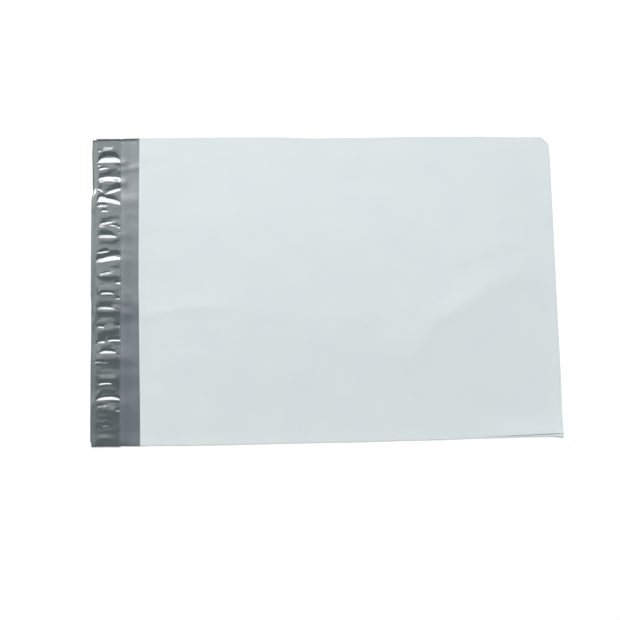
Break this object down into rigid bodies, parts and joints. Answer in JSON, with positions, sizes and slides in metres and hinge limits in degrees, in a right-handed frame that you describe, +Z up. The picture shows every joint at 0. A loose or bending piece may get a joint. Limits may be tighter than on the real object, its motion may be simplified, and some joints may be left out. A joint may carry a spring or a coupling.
{
  "type": "poly mailer bag",
  "caption": "Flat mailing bag of white plastic film, grey inside, with a folded bottom, welded sides, an open mouth and a closing flap whose adhesive lies under a puckered release liner.",
  "frame": {"origin": "on the surface that the bag lies on, under the middle of its outline", "axes": "+X runs from the closing flap to the folded bottom, +Y across the bag, +Z up through the film"},
  "size_m": [0.379, 0.2508, 0.0026],
  "materials": {
    "white_film": "satin",
    "clear_adhesive": "gloss",
    "clear_liner": "gloss"
  },
  "bodies": {
    "root": {"mailer_film": "white_film", "adhesive_strip": "clear_adhesive", "release_liner": "clear_liner"}
  },
  "joints": []
}
